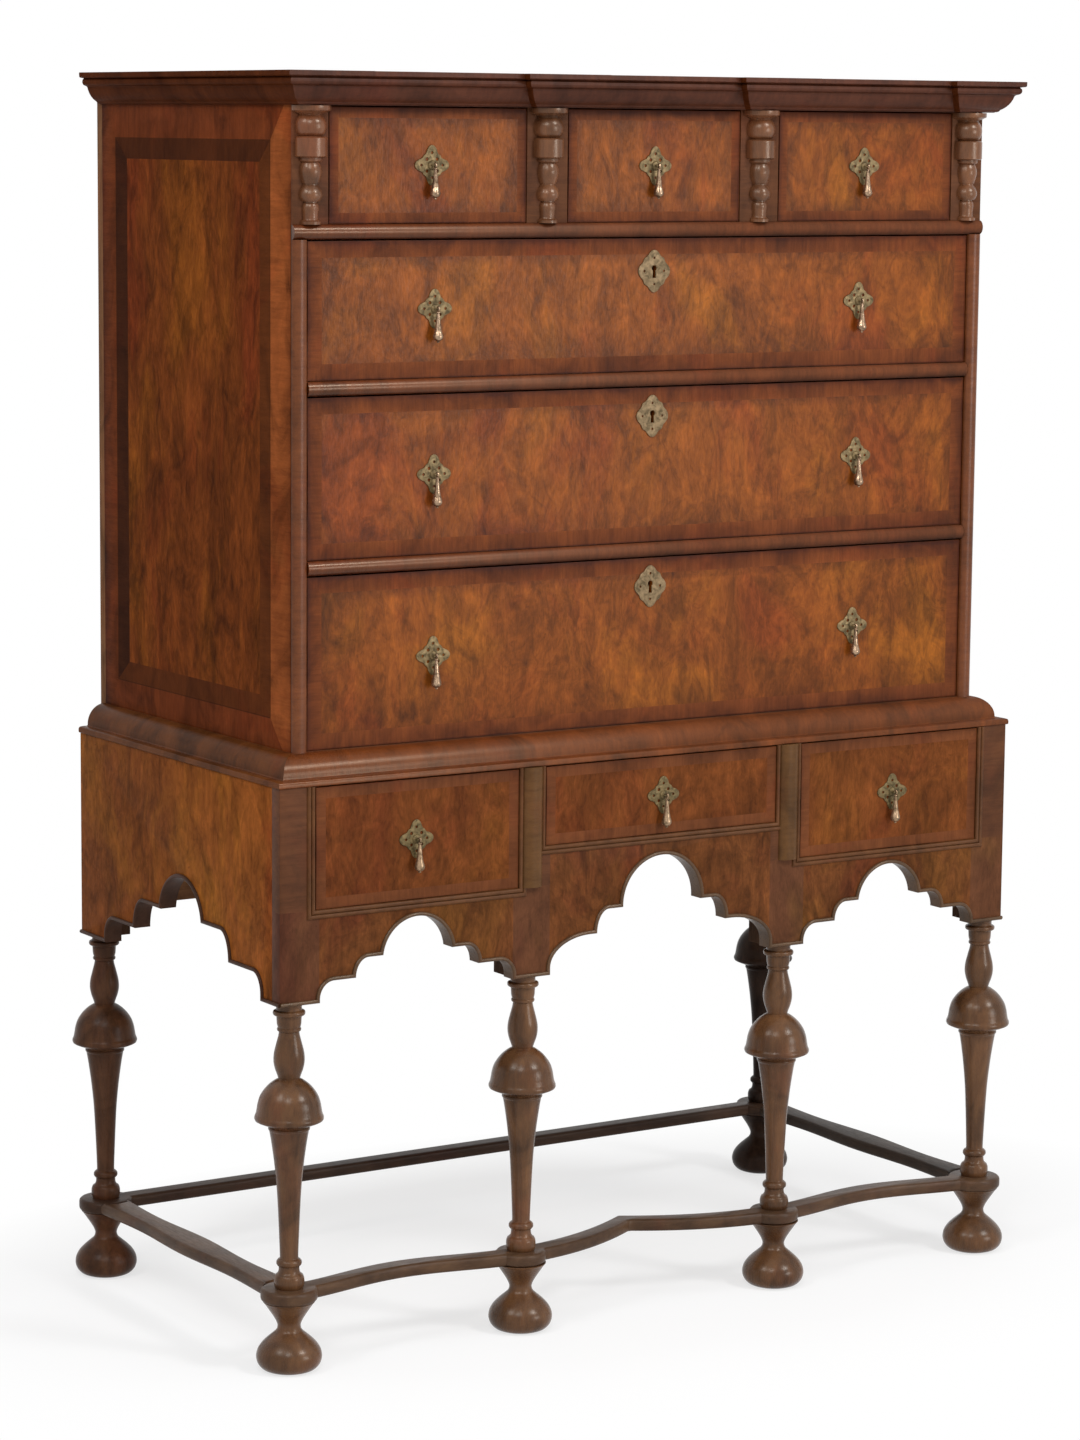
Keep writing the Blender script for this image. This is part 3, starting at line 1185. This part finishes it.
def make_stretchers():
    def bowed(t):
        return LEG_FRONT_Y + FRONT_BOW * math.sin(math.pi * t) ** 2

    def pointed(t):
        return LEG_FRONT_Y + MIDDLE_BOW * (1 - abs(2 * t - 1)) ** 2

    strips = [
        strip_between(-LEG_X, -INNER_LEG_X, STRETCHER_HALF, bowed),
        strip_between(-INNER_LEG_X, INNER_LEG_X, STRETCHER_HALF, pointed),
        strip_between(INNER_LEG_X, LEG_X, STRETCHER_HALF, bowed),
    ]
    lobes = [(-LEG_X, LOBE), (-INNER_LEG_X, INNER_LOBE), (INNER_LEG_X, INNER_LOBE), (LEG_X, LOBE)]
    outline = joined_outline(strips, lobes, LEG_FRONT_Y, BOWED_STEP)
    stretcher("front_stretcher", "stretcher_front", outline, "stretcher_walnut_x")
    strips = [strip_between(-LEG_X, LEG_X, BACK_STRETCHER_HALF, lambda t: LEG_BACK_Y)]
    outline = joined_outline(strips, [(-LEG_X, LOBE), (LEG_X, LOBE)], LEG_BACK_Y, STRAIGHT_STEP)
    stretcher("back_stretcher", "stretcher_back", outline, "stretcher_walnut_back")
    for (name, sign), wood in zip(SIDES, ("stretcher_walnut_y", "stretcher_walnut_far")):
        stretcher(f"side_stretcher_{name}", f"stretcher_{name}", side_outline(sign * LEG_X), wood)


# Drawers and their metalwork
BOSS = [(0, 0), (6, 0)] + curved([(6, 0.6), (5.2, 2.2), (3.4, 3.2), (1.6, 3.6)], 4) + [(0, 3.6)]

# A drop's radii and depths below its pivot
DROP = [(0, 41)] + chain(
    curved([(0.01, 41), (1.4, 40.7), (1.9, 39.8), (1.5, 39.1)], 4),
    curved([(1.6, 39), (4, 38), (5.8, 35.8), (6.3, 33.2), (5.6, 30),
            (4.3, 25.6), (3.4, 20), (2.7, 14), (2.1, 9), (1.8, 6)], 4),
    curved([(1.8, 5.6), (2.6, 4.8), (2.6, 4), (1.8, 3.2)], 3),
) + [(0, 2.6)]


def plate_outlines(reach, waist_share, hole_shares):
    """A cross of four pointed leaves with small cusps between them, and its round holes."""
    edge = []
    for i in range(PLATE_POINTS):
        turn = TURN * i / PLATE_POINTS
        leaf = abs(math.cos(2 * turn)) ** LEAF_POWER
        cusp = abs(math.sin(2 * turn)) ** CUSP_POWER
        radius = reach * (waist_share + (1 - waist_share) * leaf + PLATE_CUSP_SHARE * cusp)
        edge.append((radius * math.cos(turn), radius * math.sin(turn)))
    outlines = [edge]
    for i in range(4):
        for turn_share, away_share, radius_share in hole_shares:
            turn = TURN * (i + turn_share) / 4
            away = reach * away_share
            outlines.append(circle(away * math.cos(turn), away * math.sin(turn), reach * radius_share))
    return outlines


def keyhole_outline():
    """A round eye over a slot, about the middle of the eye."""
    foot = [(-KEYHOLE_SLOT, -KEYHOLE_FOOT), (KEYHOLE_SLOT, -KEYHOLE_FOOT)]
    return arc(0, 0, KEYHOLE_EYE, KEYHOLE_EYE, KEYHOLE_FROM, 180 - KEYHOLE_FROM, 16) + foot


def brass(kind, name):
    return f"{kind}_brass_stand" if "stand" in name else f"{kind}_brass"


def back_plate(name, x, front, z, body):
    outlines = plate_outlines(PLATE_REACH, PLATE_WAIST_SHARE, PLATE_HOLE_SHARES)
    flat_plate(name, outlines, PLATE_THICKNESS, PLATE_EDGE,
               lambda u, v, out: (x + u, front - out, z + v), [brass("plate", name)], "brass", body=body)
    verts, faces = turning_mesh(BOSS, 0, 0, DROP_SIDES)
    seat = front - PLATE_THICKNESS + BOSS_SINK
    seated = [(x + u, seat - out, z + v) for u, v, out in verts]
    piece(f"{name}_boss", (seated, faces), [brass("plate", name)], "brass", body=body)


def key_plate(name, x, front, z, body):
    outlines = plate_outlines(KEY_PLATE_REACH, KEY_PLATE_WAIST_SHARE, KEY_PLATE_HOLE_SHARES)
    lines = [[(u * KEY_PLATE_NARROW_SHARE, v - KEY_PLATE_SINK) for u, v in line] for line in outlines]
    flat_plate(name, lines + [keyhole_outline()], PLATE_THICKNESS, PLATE_EDGE,
               lambda u, v, out: (x + u, front - out, z + v), ["key_plate_brass"], "brass", body=body)


def eye_ring(x, y, z):
    """The round eye of a drop, about its pivot."""
    middle = (EYE_RADIUS + EYE_HOLE) / 2
    wire = (EYE_RADIUS - EYE_HOLE) / 2
    rings = []
    section = circle(0, 0, wire, WIRE_SIDES)
    for across, up in circle(0, 0, 1, EYE_SIDES):
        ring = [(EYE_WIDE_SHARE * v, (middle + u) * across, (middle + u) * up) for u, v in section]
        rings.append([(x + side, y + ahead, z + rise) for side, ahead, rise in ring])
    return loft(rings, closed=True)


def make_drop(name, x, front, z, node):
    """The hanging drop rides on its own body."""
    y = front - PIVOT_REACH
    body = next(b for b, nodes in frame["record"]["behaviour"]["bodies"].items() if node in nodes)
    metal = [brass("drop", name)]
    profile = [(radius, z - depth) for radius, depth in DROP]
    piece(name, turning_mesh(profile, x, y, DROP_SIDES), metal, "brass", body=body, replaces=node)
    piece(f"{name}_eye", eye_ring(x, y, z), metal, "brass", body=body)


def make_staple(name, x, front, z, body):
    """A bent wire: two shanks into the drawer and a bar between them."""
    half = EYE_WIDTH / 2 + STAPLE_GAP + WIRE / 2
    y = front - PIVOT_REACH
    bend = arc(STAPLE_BEND - half, -y - STAPLE_BEND, STAPLE_BEND, STAPLE_BEND, 180, 90, 4)
    left = [(-half, front + STAPLE_ROOT)] + [(u, -v) for u, v in bend]
    path = left + [(-u, v) for u, v in reversed(left)]
    work = from_curve(name, [[place(x + u, v, z) for u, v in path]], False, dimensions="3D",
                      bevel_depth=WIRE / 2 * MM * WIRE_SHARE, bevel_resolution=3, use_fill_caps=True)
    dress(name, work, [brass("plate", name)], "brass", body=body)


def cut_keyhole(face, x, front, z):
    """Cuts the keyhole through a drawer's front."""
    ends = (front - CUT_OVERRUN, front + FRONT_THICKNESS + CUT_OVERRUN)
    work = bmesh.new()
    fill(work, *loft([[(x + u, y, z + v) for u, v in keyhole_outline()] for y in ends], caps=True))
    bmesh.ops.recalc_face_normals(work, faces=work.faces)
    cutter = add_mesh("keyhole_cutter", work)
    cut = face.modifiers.new("keyhole", "BOOLEAN")
    cut.object = cutter
    cut.operation = "DIFFERENCE"
    cut.solver = "EXACT"
    bpy.context.view_layer.update()
    shaped = bpy.data.meshes.new_from_object(face.evaluated_get(bpy.context.evaluated_depsgraph_get()))
    face.modifiers.clear()
    face.data = shaped
    bpy.data.meshes.remove(cutter.data)


def drawer_front(label, x, y, z, band, fade, woods):
    """A drawer's front: a soiled edge, a crossband and a faded border round the burr."""
    rest = tuple(band - inset for inset in SOILED)
    picks = [(2, 1, 2, 1), (2, 1, 2, 1), (0,) * 4, (0,)]
    return banded_board(f"front_{label}", x, z, y, lambda u, v, at: (u, at, v), [SOILED, rest, fade], picks,
                        woods, WORN_SHARES, DRAWER_EDGE, body=label, replaces=f"drawer_{label}")


def drawer_box(label, x, y, z):
    """The drawer's sides, back and bottom."""
    left = (x[0], x[0] + DRAWER_SIDE)
    right = (x[1] - DRAWER_SIDE, x[1])
    inside = (left[1], right[0])
    back = (y[1] - DRAWER_SIDE, y[1])
    boards = {
        "side_left": (left, y, z), "side_right": (right, y, z), "back": (inside, back, z),
        "bottom": (inside, (y[0], back[0]), (z[0], z[0] + DRAWER_BOTTOM)),
    }
    for name, spans in boards.items():
        board(f"drawer_{name}_{label}", *spans, "drawer_lining", body=label)


def make_drawer(label, x0, x1, z0, opening, handles, front, back, band, fade, woods=UPPER_WOODS, key_drop=0):
    x = (x0 + DRAWER_GAP, x1 - DRAWER_GAP)
    bottom = z0 + DRAWER_FIT
    top = z0 + opening - DRAWER_TOP_GAP
    inner = front + FRONT_THICKNESS
    face = drawer_front(label, x, (front, inner), (bottom, top), band, fade, woods)
    drawer_box(label, x, (inner, back), (bottom, top - DRAWER_DROP))
    z = z0 + opening / 2
    for handle, (side, _) in zip(handles, SIDES):
        tag = f"{label}_{side}" if len(handles) > 1 else label
        back_plate(f"back_plate_{tag}", handle, front, z, label)
        make_staple(f"staple_{tag}", handle, front, z, label)
        make_drop(f"hanging_drop_{tag}", handle, front, z, f"drop_{tag}")
    if key_drop:
        middle = (x0 + x1) / 2
        key_z = z0 + opening - key_drop
        cut_keyhole(face, middle, front, key_z)
        key_plate(f"key_plate_{label}", middle, front, key_z, label)
        board(f"lock_{label}", (middle - LOCK_HALF, middle + LOCK_HALF), (inner, inner + LOCK_DEPTH),
              (key_z - LOCK_FALL, top - LOCK_HEADROOM), "lock_iron", "brass", bevel=LOCK_EDGE, body=label)


def make_drawers():
    for i, (z0, opening, key_drop) in enumerate(zip(LONG_FLOORS, LONG_OPENINGS, KEY_DROPS)):
        make_drawer(f"long_{i + 1}", -CASE_INNER, CASE_INNER, z0, opening, (-LONG_HANDLE, LONG_HANDLE),
                    key_drop=key_drop, **LONG_ROW)
    half = SHORT_MIDDLE / 2
    inner = half + MID_STILE
    outer = HALF_CASE - END_STILE
    for name, x0, x1, handle in (("left", -outer, -inner, -SHORT_HANDLE), ("middle", -half, half, 0),
                                 ("right", inner, outer, SHORT_HANDLE)):
        make_drawer(f"short_{name}", x0, x1, SHORT_FLOOR, SHORT_OPENING, (handle,), **SHORT_ROW)
    for name, x0, x1, opening, handle in (
        ("left", -END_OPENING, -OPENING_IN, OUTER_OPENING, -STAND_HANDLE),
        ("middle", -MIDDLE_HALF, MIDDLE_HALF, MIDDLE_OPENING, 0),
        ("right", OPENING_IN, END_OPENING, OUTER_OPENING, STAND_HANDLE),
    ):
        make_drawer(f"stand_{name}", x0, x1, STAND_TOP - opening, opening, (handle,), woods=STAND_WOODS,
                    **STAND_ROW)


def dress_kept_nodes():
    """The plain inner boards keep their solids and get their wood."""
    for node, wood in (("case_bottom", "pine"), ("stand_back", "pine_level"), ("stand_top", "pine"),
                       ("stand_partition_left", "pine"), ("stand_partition_right", "pine")):
        kept = frame["nodes"][node].data.materials
        kept.clear()
        kept.append(LOOKS[wood])


# Floor, light and camera
def whitened(s, plain, white, factor, output):
    """Shows the white shader in place of the plain one, as far as the factor says."""
    mix = s.node("MixShader", {"Fac": factor, 1: plain.outputs[0], 2: white.outputs[0]})
    s.feed(s.tree.nodes[output], {"Surface": mix.outputs["Shader"]})


def make_floor():
    work = bmesh.new()
    bmesh.ops.create_grid(work, x_segments=1, y_segments=1, size=FLOOR_SIZE)
    floor = add_mesh("floor", work)
    s = Shader(bpy.data.materials.new("floor_white"))
    reach = s.coords((1 / FLOOR_REACH_X, 1 / FLOOR_REACH_Y, 1))
    outward = s.node("VectorMath", {0: reach}, operation="LENGTH").outputs["Value"]
    whiter = s.span(outward, (FLOOR_WHITE_FROM, FLOOR_WHITE_TO), (FLOOR_LIFT, 1))
    plain = s.feed(s.tree.nodes["Principled BSDF"], {
        "Base Color": FLOOR_COLOUR, "Roughness": 0.9, "Specular IOR Level": 0})
    glow = s.node("Emission", {"Color": shade(1), "Strength": 1})
    whitened(s, plain, glow, s.calc("MULTIPLY", whiter, s.seen()), "Material Output")
    floor.data.materials.append(s.owner)


def make_world():
    """White to the camera and in the polish, and a softer white as light."""
    world = bpy.data.worlds.new("studio")
    bpy.context.scene.world = world
    s = Shader(world)
    light = s.feed(s.tree.nodes["Background"], {"Color": shade(1), "Strength": WORLD_LIGHT})
    white = s.node("Background", {"Color": shade(1), "Strength": 1})
    whitened(s, light, white, s.seen(), "World Output")


def soft_light(name, at, aim, size, power):
    data = bpy.data.lights.new(name, "AREA")
    data.shape = "RECTANGLE"
    data.size, data.size_y = size
    data.energy = power
    lamp = add(name, data)
    lamp.location = at
    lamp.rotation_euler = (Vector(aim) - Vector(at)).to_track_quat("-Z", "Y").to_euler()
    return lamp


def make_lights():
    for name, (turn, rise, distance, size, power) in LAMPS.items():
        across = math.radians(turn)
        up = math.radians(rise)
        level = distance * math.cos(up)
        at = (level * math.sin(across), -level * math.cos(across), MIDDLE_HEIGHT + distance * math.sin(up))
        soft_light(name, at, (0, 0, MIDDLE_HEIGHT), size, power)
    top = soft_light("top_light", TOP_LAMP_AT, (0, 0, 0), TOP_LAMP_SIZE, TOP_LAMP_POWER)
    top.visible_glossy = False


def make_camera():
    data = bpy.data.cameras.new("camera")
    data.sensor_fit = "HORIZONTAL"
    data.sensor_width = SENSOR
    data.lens = FOCAL_SHARE * SENSOR
    data.clip_end = CLIP_END
    camera = add("camera", data)
    camera.matrix_world = Matrix.Translation(place(*CAMERA))
    for degrees, axis in ((-CAMERA_YAW, "Z"), (90 + CAMERA_PITCH, "X"), (CAMERA_ROLL, "Z")):
        camera.matrix_world = camera.matrix_world @ Matrix.Rotation(math.radians(degrees), 4, axis)
    bpy.context.scene.camera = camera


make_case()
make_case_back()
make_balusters()
make_cornice()
make_waist()
make_stand_front()
make_stand_beads()
for side_name, side_sign in SIDES:
    make_stand_side(side_name, side_sign)
make_legs()
make_stretchers()
make_drawers()
dress_kept_nodes()
make_floor()
make_world()
make_lights()
make_camera()
bpy.context.scene.view_settings.view_transform = "Standard"
